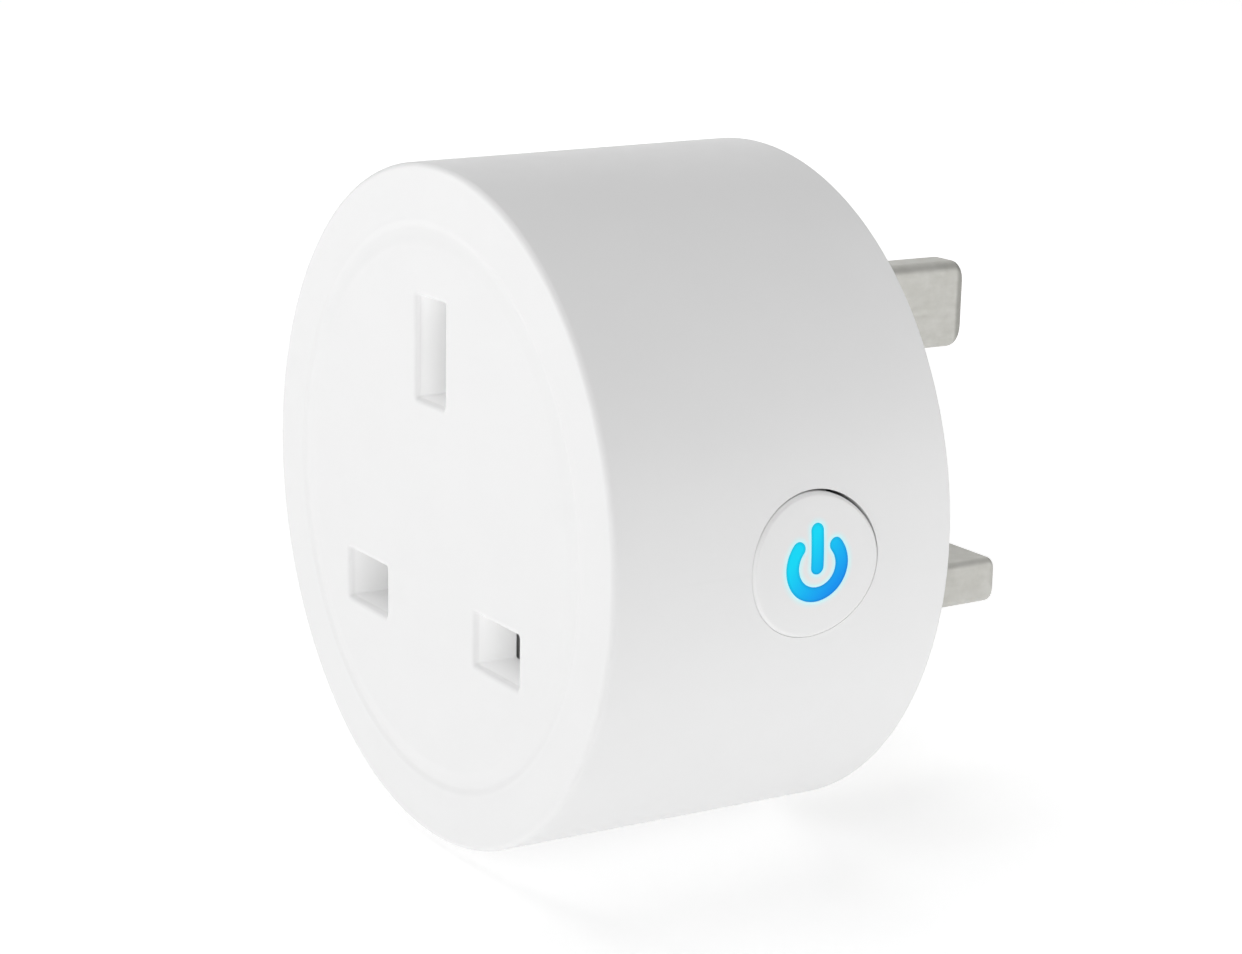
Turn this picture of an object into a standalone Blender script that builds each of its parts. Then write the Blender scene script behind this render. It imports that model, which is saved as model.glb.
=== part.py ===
"""A smart plug that goes between a BS 1363 wall socket and an appliance's plug.

Sizes below are millimetres; Blender gets metres. The origin is the centre of the rear face. +Y points out of
that face along the plug pins, -Y out of the socket face, +Z is up, and +X is the side with the live pin and
the button. Sealed pieces inside are typical of this kind of product.
"""

import math

import bmesh
import bpy

MM = 0.001

# Body: a cup that widens slightly towards the wall, closed by a rear cover let into it.
DEPTH = 31.2
FRONT_RADIUS = 28.35
REAR_RADIUS = 28.95
INNER_RADIUS = 25.9
FRONT_WALL = 2.4
RIM, REAR_RIM = 0.5, 0.2  # edge rounding at the front and the rear
COVER_RADIUS = 26.65
COVER_THICK = 2.6
FIT = 0.1  # gap between pieces that fit into one another
SNUG = 0.05  # gap between pieces that touch in use
FRONT = -DEPTH
GROOVE_INNER, GROOVE_FLOOR, GROOVE_OUTER, GROOVE_DEEP = 21.6, 23.1, 23.8, 0.14

# BS 1363: the earth centre is PITCH above the line of the other two, which are PITCH apart.
PITCH = 22.23
EARTH_Z = 13.2
LINE_Z = EARTH_Z - PITCH
LINE_X = PITCH / 2
PIN_WIDE, PIN_THICK, LINE_LENGTH, SLEEVE_LENGTH = 6.35, 3.97, 17.85, 9.5
EARTH_WIDE, EARTH_LENGTH = 7.92, 22.95
NECK_WIDE = 5.0  # metal inside an insulating sleeve
FLANGE = 0.7  # how far the pin's inner flange stands out all round, beyond the slot
LINE_SLOT = (7.0, 4.3)  # width, height
EARTH_SLOT = (4.8, 8.5)
SLOT_CHAMFER = 0.35
COLLAR_WALL, COLLAR_DEEP = 1.2, 4.0
EARTH_TAIL, LINE_TAIL = 2.4, 1.9  # how far a solder tail lies from its pole's centre
PIN_EDGE = 0.35  # cut along a pin's long edges
# Screws and bosses, in the plane of the wall: (x, z)
SCREWS = {"screw_top": (0.0, 22.8), "screw_left": (-20.4, -10.2), "screw_right": (20.4, -10.2)}
BOSS_RADIUS, BORE_RADIUS, BORE_DEEP = 3.2, 1.15, 13.0
SCREW_HEAD, SCREW_SHANK, SCREW_LENGTH, HEAD_SEAT = 2.3, 1.0, 11.0, -1.8
DRIVE_HALF, DRIVE_DEEP = (1.4, 0.3), -1.15  # the cross in a screw's head
CARRIER_POSTS, CARRIER_POST_RADIUS = {"left": (-7.6, 0.0), "right": (7.6, 0.0)}, 1.4
BOARD_POSTS, BOARD_POST_RADIUS = ((-13.0, 16.5), (13.0, 16.5), (0.0, -19.5)), 1.6

# Shutter, closed: it slides down by SHUTTER_TRAVEL when an earth pin pushes on its ramp.
SHUTTER_FRONT, SHUTTER_REAR, SHUTTER_TRAVEL = -26.3, -24.3, 5.5
BAR_BOTTOM, BAR_TOP, BAR_HALF = -12.0, -6.2, 15.2
STEM_HALF, RAMP_HALF, RAMP_FOOT = 4.0, 1.8, 8.9
SPRING_RADIUS, SPRING_WIRE, SPRING_TURNS, SEAT_TOP = 1.1, 0.2, 5, -20.6

# Contacts and their carrier
CARRIER_FRONT, CARRIER_REAR = -23.9, -22.7
CARRIER_BODY, CARRIER_WINGS = (9.6, (-14.0, 19.2)), (16.7, (-14.0, -5.2))  # half width, (low, high)
CELL_WALL = 0.8
LEAF = 0.6
LEAF_GAP = 4.1

# Boards and what stands on them
BOARD_FRONT, BOARD_REAR, BOARD_RADIUS = -7.4, -5.8, 24.8
STAND = BOARD_FRONT - SNUG  # where a component on the main board starts

# Button on the +X side
BUTTON_Y = -13.05
BUTTON_RADIUS, BUTTON_HOLE, BUTTON_FLANGE = 5.77, 5.9, 6.9
BUTTON_PROUD = 0.2  # how far the cap stands out from the side wall
FLANGE_X, CAVITY_RADIUS, CAVITY_X = (23.9, 24.8), 4.4, 26.9
PLATE_X, SWITCH_TOP, PLUNGER_RADIUS, STEM_END = 20.4, 22.6, 1.75, 23.65
ICON_INNER, ICON_OUTER, ICON_GAP_ANGLE = 1.69, 2.9, 49
ICON_BAR_HALF, ICON_BAR_LOW, ICON_BAR_HIGH = 0.6, -0.68, 3.4

RELAY_CASE = {"x": (-20.5, -10.5), "y": (-22.8, STAND), "z": (-4.9, 13.2)}

for old in list(bpy.data.objects):
    bpy.data.objects.remove(old)
PARTS = bpy.data.collections.new("smart_plug")
TOOLS = bpy.data.collections.new("cutting_tools")
for group in (PARTS, TOOLS):
    bpy.context.scene.collection.children.link(group)
TOOLS.hide_render = True

# Finishes: base colour, roughness, metallic
WHITE_PLASTIC = ((0.87, 0.87, 0.86), 0.45, 0.0)
LIGHT_PLASTIC = ((0.80, 0.80, 0.78), 0.5, 0.0)
BLACK_PLASTIC = ((0.03, 0.03, 0.03), 0.5, 0.0)
CLEAR_PLASTIC = ((0.20, 0.62, 0.95), 0.3, 0.0)
NICKEL = ((0.72, 0.69, 0.64), 0.28, 1.0)
COPPER_ALLOY = ((0.80, 0.52, 0.30), 0.35, 1.0)
STEEL = ((0.60, 0.60, 0.60), 0.35, 1.0)
ZINC = ((0.70, 0.71, 0.72), 0.3, 1.0)
LAMINATE = ((0.04, 0.22, 0.10), 0.5, 0.0)
BLUE_SLEEVE = ((0.05, 0.10, 0.30), 0.45, 0.0)
BLUE_EPOXY = ((0.05, 0.15, 0.45), 0.5, 0.0)
FERRITE = ((0.06, 0.06, 0.06), 0.6, 0.0)


def outline_at(axis, along, outline):
    """A flat outline set at one place along an axis: its pairs are (y, z), (x, z) or (x, y)."""
    if axis == "x":
        return [(along, u, v) for u, v in outline]
    if axis == "y":
        return [(u, along, v) for u, v in outline]
    return [(u, v, along) for u, v in outline]


def rectangle(u, v, width, height, corner=0.0):
    """A rectangle's outline about (u, v), with its corners cut off where corner is given."""
    half_w, half_h = width / 2, height / 2
    points = []
    for sign_u, sign_v in ((1, 1), (-1, 1), (-1, -1), (1, -1)):
        if corner:
            pair = [(half_w - corner, half_h), (half_w, half_h - corner)]
            pair = pair if sign_u * sign_v < 0 else pair[::-1]
        else:
            pair = [(half_w, half_h)]
        points += [(u + sign_u * a, v + sign_v * b) for a, b in pair]
    return points


def circle(u, v, radius, sides=32):
    steps = [math.tau * i / sides for i in range(sides)]
    return [(u + radius * math.cos(a), v + radius * math.sin(a)) for a in steps]


def loft(name, rings, finish=None, origin=(0.0, 0.0, 0.0)):
    """A capped solid through rings with equally many points, with its object origin where asked."""
    count = len(rings[0])
    points = [[(p[i] - origin[i]) * MM for i in range(3)] for ring in rings for p in ring]
    faces = [tuple(range(count)), tuple(range(len(points) - count, len(points)))]
    for level in range(len(rings) - 1):
        low, high = level * count, (level + 1) * count
        for i in range(count):
            j = (i + 1) % count
            faces.append((low + i, low + j, high + j, high + i))
    mesh = bpy.data.meshes.new(name)
    mesh.from_pydata(points, [], faces)
    shell = bmesh.new()
    shell.from_mesh(mesh)
    bmesh.ops.recalc_face_normals(shell, faces=shell.faces)
    shell.to_mesh(mesh)
    shell.free()
    made = bpy.data.objects.new(name, mesh)
    made.location = [v * MM for v in origin]
    PARTS.objects.link(made)
    if finish:
        colour, roughness, metallic = finish
        material = bpy.data.materials.new(name)
        material.use_nodes = True
        surface = material.node_tree.nodes["Principled BSDF"]
        surface.inputs["Base Color"].default_value = (*colour, 1.0)
        surface.inputs["Roughness"].default_value = roughness
        surface.inputs["Metallic"].default_value = metallic
        mesh.materials.append(material)
    return made


def stack(name, axis, sections, finish=None, origin=(0.0, 0.0, 0.0)):
    """A solid through outlines at given places along an axis."""
    return loft(name, [outline_at(axis, along, line) for along, line in sections], finish, origin)


def prism(name, axis, outline, span, finish=None, origin=(0.0, 0.0, 0.0)):
    return stack(name, axis, [(along, outline) for along in span], finish, origin)


def box(name, x, y, z, finish=None, origin=(0.0, 0.0, 0.0)):
    """A box from its (low, high) span on each axis."""
    line = rectangle((x[0] + x[1]) / 2, (z[0] + z[1]) / 2, x[1] - x[0], z[1] - z[0])
    return prism(name, "y", line, y, finish, origin)


def rod(name, axis, centre, radius, span, finish=None, origin=(0.0, 0.0, 0.0), sides=32):
    return prism(name, axis, circle(*centre, radius, sides), span, finish, origin)


def turned(name, axis, centre, profile, finish=None, origin=(0.0, 0.0, 0.0), sides=32):
    """A round solid from (place along the axis, radius) pairs, followed from one flat end to the other."""
    sections = [(along, circle(*centre, radius, sides)) for along, radius in profile]
    return stack(name, axis, sections, finish, origin)


def combine(target, operation, *tools):
    for tool in tools:
        PARTS.objects.unlink(tool)
        TOOLS.objects.link(tool)
        tool.hide_render = True
        tool.display_type = "WIRE"
        step = target.modifiers.new(tool.name, "BOOLEAN")
        step.operation, step.solver, step.object = operation, "EXACT", tool
    return target


def join(target, *tools):
    return combine(target, "UNION", *tools)


def cut(target, *tools):
    return combine(target, "DIFFERENCE", *tools)


def soften(target, width, segments=1):
    bevel = target.modifiers.new("edges", "BEVEL")
    bevel.width, bevel.segments, bevel.limit_method = width * MM, segments, "ANGLE"
    return target


def smooth(target, angle=30):
    for face in target.data.polygons:
        face.use_smooth = True
    target.data.set_sharp_from_angle(angle=math.radians(angle))
    return target


def body_radius(y):
    """The outside radius of the housing at a place along the axis."""
    return FRONT_RADIUS + (REAR_RADIUS - FRONT_RADIUS) * (y - FRONT) / DEPTH


# Every pole: (x, z) of its centre, pin section (x, z), pin length, socket slot (x, z)
POLES = {
    "earth": ((0.0, EARTH_Z), (PIN_THICK, EARTH_WIDE), EARTH_LENGTH, EARTH_SLOT),
    "live": ((LINE_X, LINE_Z), (PIN_WIDE, PIN_THICK), LINE_LENGTH, LINE_SLOT),
    "neutral": ((-LINE_X, LINE_Z), (PIN_WIDE, PIN_THICK), LINE_LENGTH, LINE_SLOT),
}


def tail_shift(pole, x):
    """How far a pin's solder tail lies from the pole's centre, (x, z); the contact's tail mirrors it."""
    return (0.0, EARTH_TAIL) if pole == "earth" else (math.copysign(LINE_TAIL, x), 0.0)


def make_housing():
    inner_front = FRONT + FRONT_WALL
    housing = turned("front_housing", "y", (0, 0), [
        (FRONT, GROOVE_INNER), (FRONT + GROOVE_DEEP, GROOVE_FLOOR), (FRONT, GROOVE_OUTER),
        (FRONT, FRONT_RADIUS - RIM), (FRONT + 0.3 * RIM, FRONT_RADIUS - 0.3 * RIM),
        (FRONT + RIM, FRONT_RADIUS), (-REAR_RIM, REAR_RADIUS), (0, REAR_RADIUS - REAR_RIM),
        (0, COVER_RADIUS + FIT), (-COVER_THICK - FIT, COVER_RADIUS + FIT),
        (-COVER_THICK - FIT, INNER_RADIUS), (inner_front, INNER_RADIUS),
    ], WHITE_PLASTIC, sides=96)
    smooth(housing)

    added, removed = [], []
    boss_rear = -COVER_THICK - 2 * FIT
    bore = (boss_rear - BORE_DEEP, boss_rear + 1)
    for name, spot in SCREWS.items():
        added.append(rod(f"boss_{name}", "y", spot, BOSS_RADIUS, (inner_front - 1, boss_rear), sides=24))
        removed.append(rod(f"bore_{name}", "y", spot, BORE_RADIUS, bore, sides=16))
    seat = (inner_front - 1, SHUTTER_REAR + 0.4)
    added.append(box("spring_seat", (-3, 3), seat, (SEAT_TOP - 2.4, SEAT_TOP)))
    post = (inner_front - 1, CARRIER_FRONT - SNUG)
    for side, spot in CARRIER_POSTS.items():
        added.append(rod(f"carrier_post_{side}", "y", spot, CARRIER_POST_RADIUS, post, sides=16))
    for pole, ((x, z), _, _, (width, height)) in POLES.items():
        collar = rectangle(x, z, width + 2 * COLLAR_WALL, height + 2 * COLLAR_WALL)
        added.append(prism(f"collar_{pole}", "y", collar, (inner_front - 1, FRONT + COLLAR_DEEP)))
        wide = rectangle(x, z, width + 4 * SLOT_CHAMFER, height + 4 * SLOT_CHAMFER)
        narrow = rectangle(x, z, width, height)
        removed.append(stack(f"slot_{pole}", "y", [
            (FRONT - SLOT_CHAMFER, wide), (FRONT + SLOT_CHAMFER, narrow), (FRONT + COLLAR_DEEP + 1, narrow),
        ]))
    removed.append(rod("button_hole", "x", (BUTTON_Y, 0), BUTTON_HOLE, (20, 32), sides=48))
    join(housing, *added)
    cut(housing, *removed)


def make_cover_and_screws():
    cover = rod("rear_cover", "y", (0, 0), COVER_RADIUS, (-COVER_THICK, 0), WHITE_PLASTIC, sides=96)
    smooth(cover)
    post = (BOARD_REAR + SNUG, -COVER_THICK + 1)
    join(cover, *[rod(f"board_post_{i}", "y", spot, BOARD_POST_RADIUS, post, sides=16)
                  for i, spot in enumerate(BOARD_POSTS)])
    holes = []
    for pole, ((x, z), (width, height), _, _) in POLES.items():
        slot = rectangle(x, z, width + 2 * FIT, height + 2 * FIT)
        holes.append(prism(f"pin_slot_{pole}", "y", slot, (-COVER_THICK - 1, 1)))
    for name, (x, z) in SCREWS.items():
        holes.append(turned(f"hole_{name}", "y", (x, z), [
            (-COVER_THICK - 1, SCREW_SHANK + 0.3), (HEAD_SEAT, SCREW_SHANK + 0.3),
            (HEAD_SEAT, SCREW_HEAD + 0.2), (1, SCREW_HEAD + 0.2),
        ], sides=24))
        screw = turned(name, "y", (x, z), [
            (-SCREW_LENGTH, 0.5), (-SCREW_LENGTH + 0.8, SCREW_SHANK), (HEAD_SEAT + SNUG, SCREW_SHANK),
            (HEAD_SEAT + SNUG, SCREW_HEAD), (-0.55, SCREW_HEAD), (-0.25, SCREW_HEAD - 0.5),
        ], ZINC, sides=24)
        smooth(screw)
        long, thin = DRIVE_HALF
        cut(screw,
            box(f"drive_across_{name}", (x - long, x + long), (DRIVE_DEEP, 0.5), (z - thin, z + thin)),
            box(f"drive_up_{name}", (x - thin, x + thin), (DRIVE_DEEP + 0.01, 0.5), (z - long, z + long)))
    cut(cover, *holes)


def make_pins():
    inner_end = BOARD_FRONT + FIT
    for pole, ((x, z), (width, height), length, _) in POLES.items():
        sleeved = pole != "earth"
        flange_rear = -COVER_THICK - FIT

        def section(along, shrink=0.0):
            return along, rectangle(x, z, width - 2 * shrink, height - 2 * shrink, PIN_EDGE)

        inside = [section(flange_rear - 1.6, -FLANGE), section(flange_rear, -FLANGE)]
        neck = (width - NECK_WIDE) / 2
        if sleeved:
            bared = [section(flange_rear, neck), section(SLEEVE_LENGTH, neck), section(SLEEVE_LENGTH)]
        else:
            bared = [section(flange_rear)]
        tip = [section(length - 1.2), section(length - 0.35, 0.32), section(length, 0.9)]
        pin = stack(f"{pole}_pin", "y", inside + bared + tip, NICKEL)
        shift_x, shift_z = tail_shift(pole, x)
        tail_x, tail_z = x + shift_x, z + shift_z
        join(pin, box(f"{pole}_pin_tail", (tail_x - 0.9, tail_x + 0.9), (inner_end, flange_rear - 1),
                      (tail_z - 0.5, tail_z + 0.5)))
        if sleeved:
            outer = rectangle(x, z, width, height, PIN_EDGE)
            span = (-COVER_THICK, SLEEVE_LENGTH - SNUG)
            sleeve = prism(f"{pole}_sleeve", "y", outer, span, BLACK_PLASTIC)
            bore = rectangle(x, z, NECK_WIDE + 2 * SNUG, height - 2 * neck + 2 * SNUG, PIN_EDGE)
            cut(sleeve, prism(f"{pole}_sleeve_bore", "y", bore, (-COVER_THICK - 1, SLEEVE_LENGTH + 1)))


def make_shutter():
    span = (SHUTTER_FRONT, SHUTTER_REAR)
    origin = (0.0, (SHUTTER_FRONT + SHUTTER_REAR) / 2, (BAR_BOTTOM + BAR_TOP) / 2)
    shutter = box("shutter", (-BAR_HALF, BAR_HALF), span, (BAR_BOTTOM, BAR_TOP), LIGHT_PLASTIC, origin)
    stem = box("shutter_stem", (-STEM_HALF, STEM_HALF), span, (BAR_TOP - 0.5, RAMP_FOOT - 0.6))
    # The ramp rises at 45 degrees, so the pin that runs along it pushes the shutter down by its own advance.
    ramp_rear, ramp_top = SHUTTER_FRONT + SHUTTER_TRAVEL, RAMP_FOOT + SHUTTER_TRAVEL
    blade = [
        (SHUTTER_FRONT, RAMP_FOOT - 2.4), (SHUTTER_FRONT, RAMP_FOOT), (ramp_rear, ramp_top),
        (ramp_rear, ramp_top - 2.5), (SHUTTER_REAR, RAMP_FOOT - 0.5), (SHUTTER_REAR, RAMP_FOOT - 2.4),
    ]
    join(shutter, stem, prism("shutter_ramp", "x", blade, (-RAMP_HALF, RAMP_HALF)))

    low, high = SEAT_TOP + SNUG + SPRING_WIRE, BAR_BOTTOM - SNUG - SPRING_WIRE
    steps, sides = SPRING_TURNS * 16, 6
    rings = []
    for i in range(steps + 1):
        turn = math.tau * SPRING_TURNS * i / steps
        ring = []
        for k in range(sides):
            around = math.tau * k / sides
            radius = SPRING_RADIUS + SPRING_WIRE * math.cos(around)
            rise = low + (high - low) * i / steps + SPRING_WIRE * math.sin(around)
            ring.append((radius * math.cos(turn), origin[1] + radius * math.sin(turn), rise))
        rings.append(ring)
    smooth(loft("shutter_spring", rings, STEEL), 80)


def make_contacts():
    plate = (CARRIER_FRONT, CARRIER_REAR)
    half, rise = CARRIER_BODY
    carrier = box("contact_carrier", (-half, half), plate, rise, LIGHT_PLASTIC)
    half, rise = CARRIER_WINGS
    walls = [box("carrier_wings", (-half, half), plate, rise)]
    pockets = []
    for pole, ((x, z), (width, height), length, (slot_w, slot_h)) in POLES.items():
        earth = pole == "earth"
        inner_w, inner_h = (LEAF_GAP + 2 * LEAF + 0.6, 9.6) if earth else (8.6, LEAF_GAP + 2 * LEAF + 0.5)
        base_front = FRONT + length + SNUG
        cell_rear = base_front + (-2.0 if earth else 0.6)
        outer = rectangle(x, z, inner_w + 2 * CELL_WALL, inner_h + 2 * CELL_WALL)
        walls.append(prism(f"cell_{pole}", "y", outer, (CARRIER_FRONT + 0.1, cell_rear)))
        pocket = rectangle(x, z, inner_w, inner_h)
        pockets.append(prism(f"pocket_{pole}", "y", pocket, (CARRIER_REAR, cell_rear + 1)))
        mouth = rectangle(x, z, slot_w, slot_h)
        pockets.append(prism(f"mouth_{pole}", "y", mouth, (CARRIER_FRONT - 1, CARRIER_REAR + 1)))

        # A clip: two leaves joined by a base behind the end of the appliance's pin, and a tail to the board.
        leaf_front = -20.0 if earth else CARRIER_REAR + 0.4
        half_gap, half_out = LEAF_GAP / 2, LEAF_GAP / 2 + LEAF
        reach = 3.5 if earth else 2.9
        if earth:
            block = (x - half_out, x + half_out), (leaf_front, base_front + LEAF), (z - reach, z + reach)
            gap = (x - half_gap, x + half_gap), (leaf_front - 1, base_front), (z - reach - 1, z + reach + 1)
        else:
            block = (x - reach, x + reach), (leaf_front, base_front + LEAF), (z - half_out, z + half_out)
            gap = (x - reach - 1, x + reach + 1), (leaf_front - 1, base_front), (z - half_gap, z + half_gap)
        shift_x, shift_z = tail_shift(pole, x)
        tail_x, tail_z = x - shift_x, z - shift_z
        contact = box(f"{pole}_contact", *block, COPPER_ALLOY)
        cut(contact, box(f"{pole}_contact_gap", *gap))
        join(contact, box(f"{pole}_contact_tail", (tail_x - 0.9, tail_x + 0.9),
                          (base_front + 0.3, BOARD_REAR + 0.6), (tail_z - 0.4, tail_z + 0.4)))
    # Room for the shutter's ramp as it moves down
    half, rear = RAMP_HALF + 0.4, SHUTTER_FRONT + SHUTTER_TRAVEL + 0.4
    pockets.append(box("ramp_room", (-half, half), (CARRIER_FRONT - 1, rear), (RAMP_FOOT - 6.4, EARTH_Z)))
    join(carrier, *walls)
    cut(carrier, *pockets)


def make_main_board():
    span = (BOARD_FRONT, BOARD_REAR)
    board = rod("main_board", "y", (0, 0), BOARD_RADIUS, span, LAMINATE, sides=64)
    through = (BOARD_FRONT - 1, BOARD_REAR + 1)
    holes = [
        rod(f"notch_{name}", "y", spot, BOSS_RADIUS + 0.5, through, sides=24)
        for name, spot in SCREWS.items()
    ]
    for pole, ((x, z), _, _, _) in POLES.items():
        shift_x, shift_z = tail_shift(pole, x)
        for side in (1, -1):
            slot = rectangle(x + side * shift_x, z + side * shift_z, 2.2, 1.4)
            holes.append(prism(f"solder_slot_{pole}_{side}", "y", slot, through))
    clear = BUTTON_FLANGE + 0.5
    holes.append(box("button_notch", (FLANGE_X[0] - 0.6, 30), through, (-clear, clear)))
    cut(board, *holes)

    soften(box("relay", **RELAY_CASE, finish=BLUE_EPOXY), 0.4)
    for name, spot, radius, height, finish in (
        ("bulk_capacitor", (10.6, 3.4), 4.0, 12.0, BLACK_PLASTIC),
        ("output_capacitor", (9.8, 14.0), 3.15, 11.0, BLUE_SLEEVE),
    ):
        top = STAND - height
        smooth(turned(name, "y", spot, [
            (STAND, radius - 0.3), (STAND - 0.4, radius), (STAND - 1.2, radius), (STAND - 1.7, radius - 0.3),
            (STAND - 2.2, radius), (top + 0.4, radius), (top, radius - 0.4),
        ], finish, sides=28))
    smooth(turned("varistor", "x", (STAND - 5.0, 10.6), [
        (15.0, 3.3), (15.7, 4.4), (17.5, 4.4), (18.2, 3.3),
    ], BLUE_EPOXY, sides=28))
    smooth(turned("choke", "y", (0.4, 0.4), [
        (STAND, 3.6), (STAND - 1.2, 3.6), (STAND - 1.2, 2.9), (STAND - 6.4, 2.9), (STAND - 6.4, 3.6),
        (STAND - 7.6, 3.6),
    ], FERRITE, sides=28))
    smooth(turned("fuse_resistor", "z", (-7.3, STAND - 1.6), [
        (1.0, 1.0), (1.6, 1.5), (2.6, 1.5), (3.2, 1.3), (7.8, 1.3), (8.4, 1.5), (9.4, 1.5), (10.0, 1.0),
    ], LIGHT_PLASTIC, sides=20))
    soften(box("rectifier", (-3.2, 3.2), (STAND - 2.5, STAND), (-9.0, -4.3), BLACK_PLASTIC), 0.2)
    soften(box("regulator", (-2.5, 2.5), (STAND - 1.6, STAND), (-16.0, -12.0), BLACK_PLASTIC), 0.2)


def make_radio():
    box("wifi_board", (-9.0, 9.0), (-23.0, STAND), (-19.6, -18.6), LAMINATE)
    soften(box("wifi_shield", (-6.2, 6.2), (-20.5, -9.5), (-21.7, -19.6 - SNUG), STEEL), 0.3)


def make_switch():
    """The upright board behind the button, with the switch and the two lamps that light the symbol."""
    face = PLATE_X + SNUG
    box("button_board", (PLATE_X - 1.2, PLATE_X), (-19.5, STAND), (-6.5, 6.5), LAMINATE)
    switch = box("tact_switch", (face, SWITCH_TOP), (BUTTON_Y - 3, BUTTON_Y + 3), (-3, 3), BLACK_PLASTIC)
    well = (PLATE_X + 0.8, SWITCH_TOP + 1)
    cut(switch, rod("switch_well", "x", (BUTTON_Y, 0.0), PLUNGER_RADIUS + 0.15, well, sides=24))
    foot = PLATE_X + 1.4
    smooth(rod("tact_plunger", "x", (BUTTON_Y, 0.0), PLUNGER_RADIUS, (foot, STEM_END - SNUG), LIGHT_PLASTIC,
               (foot, BUTTON_Y, 0.0), sides=24))
    for colour, z in (("blue", 4.6), ("red", -4.6)):
        box(f"status_led_{colour}", (face, PLATE_X + 0.85), (BUTTON_Y - 0.8, BUTTON_Y + 0.8),
            (z - 0.5, z + 0.5), LIGHT_PLASTIC)


def make_button():
    centre = (BUTTON_Y, 0.0)
    origin = (CAVITY_X, BUTTON_Y, 0.0)
    cap = turned("button_cap", "x", centre, [
        (FLANGE_X[0], BUTTON_FLANGE), (FLANGE_X[1], BUTTON_FLANGE), (FLANGE_X[1], BUTTON_RADIUS),
        (30, BUTTON_RADIUS),
    ], WHITE_PLASTIC, origin, sides=48)
    smooth(cap)
    hollow = rod("button_hollow", "x", centre, CAVITY_RADIUS, (FLANGE_X[0] - 1, CAVITY_X), sides=32)
    plate = (CAVITY_X - 1.0, CAVITY_X - SNUG)
    guide = rod("light_guide", "x", centre, CAVITY_RADIUS - FIT, plate, CLEAR_PLASTIC, origin, sides=32)
    smooth(guide)
    for target, gap, tag in ((cap, 0.0, "window"), (guide, FIT, "glow")):
        span = (CAVITY_X - 0.5, 31)
        shapes = [prism(f"{tag}_arc", "x", arc_outline(gap), span),
                  prism(f"{tag}_bar", "x", bar_outline(gap), span)]
        rise = BUTTON_PROUD - (SNUG if target is guide else 0.0)
        skin = turned(f"{tag}_skin", "y", (0, 0), [
            (FRONT, body_radius(FRONT) + rise), (0, body_radius(0) + rise)], sides=192)
        if target is cap:
            cut(cap, hollow, *shapes)
        else:
            join(guide, *shapes, rod("guide_stem", "x", centre, 1.2, (STEM_END, CAVITY_X - 0.5), sides=20))
        combine(target, "INTERSECT", skin)


def arc_outline(gap):
    """The open ring of the power symbol as (y, z) pairs, drawn in by gap all round."""
    inner, outer = ICON_INNER + gap, ICON_OUTER - gap
    middle, half = (inner + outer) / 2, (outer - inner) / 2
    start, end, steps = math.radians(90 + ICON_GAP_ANGLE), math.radians(450 - ICON_GAP_ANGLE), 32
    sweep = [start + (end - start) * i / steps for i in range(steps + 1)]
    outside = [(outer * math.cos(a), outer * math.sin(a)) for a in sweep]
    inside = [(inner * math.cos(a), inner * math.sin(a)) for a in reversed(sweep)]
    ends = []
    for angle, first in ((end, end), (start, start + math.pi)):
        centre = (middle * math.cos(angle), middle * math.sin(angle))
        round_end = [first + math.pi * k / 6 for k in range(1, 6)]
        ends.append([(centre[0] + half * math.cos(a), centre[1] + half * math.sin(a)) for a in round_end])
    points = outside + ends[0] + inside + ends[1]
    return [(BUTTON_Y + u, v) for u, v in points]


def bar_outline(gap):
    """The upright bar of the power symbol, with round ends."""
    half = ICON_BAR_HALF - gap
    low, high = ICON_BAR_LOW + ICON_BAR_HALF, ICON_BAR_HIGH - ICON_BAR_HALF
    top = [(half * math.cos(math.pi * k / 6), high + half * math.sin(math.pi * k / 6)) for k in range(7)]
    bottom = [(-u, low + high - v) for u, v in top]
    return [(BUTTON_Y + u, v) for u, v in top + bottom]


make_housing()
make_cover_and_screws()
make_pins()
make_shutter()
make_contacts()
make_main_board()
make_radio()
make_switch()
make_button()
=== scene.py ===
"""Looks of the smart plug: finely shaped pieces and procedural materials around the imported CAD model.

Everything is in metres in the CAD model's own frame: the origin is the centre of the rear face, +Y runs out
along the plug pins, -Y out of the socket face, +Z up, and +X is the side with the button. Sizes written as
numbers below are millimetres, turned into metres by MM, unless a comment says otherwise.
"""

import math
from collections import namedtuple

import bmesh
import bpy
from mathutils import Matrix, Vector


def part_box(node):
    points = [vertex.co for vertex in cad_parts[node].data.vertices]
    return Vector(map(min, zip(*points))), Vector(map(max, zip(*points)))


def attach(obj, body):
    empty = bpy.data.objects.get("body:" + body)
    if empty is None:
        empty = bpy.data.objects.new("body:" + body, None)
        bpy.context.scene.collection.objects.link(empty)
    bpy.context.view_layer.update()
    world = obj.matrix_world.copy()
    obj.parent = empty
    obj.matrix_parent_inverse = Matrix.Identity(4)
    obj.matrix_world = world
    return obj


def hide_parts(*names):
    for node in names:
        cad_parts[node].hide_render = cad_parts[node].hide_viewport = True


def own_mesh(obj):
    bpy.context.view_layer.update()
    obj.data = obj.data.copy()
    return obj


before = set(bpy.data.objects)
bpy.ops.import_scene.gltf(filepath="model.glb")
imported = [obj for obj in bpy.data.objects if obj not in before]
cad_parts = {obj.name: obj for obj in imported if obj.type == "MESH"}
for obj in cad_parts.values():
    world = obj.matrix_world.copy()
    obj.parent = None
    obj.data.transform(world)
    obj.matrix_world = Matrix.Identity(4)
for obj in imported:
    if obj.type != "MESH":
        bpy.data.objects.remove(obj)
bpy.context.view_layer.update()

MM = 0.001
ROUND_STEPS = 8  # steps along a rounded edge
SHARP_ANGLE, BEVEL_ANGLE = 32, 35  # degrees between faces from which an edge stays sharp, or is bevelled


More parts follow.
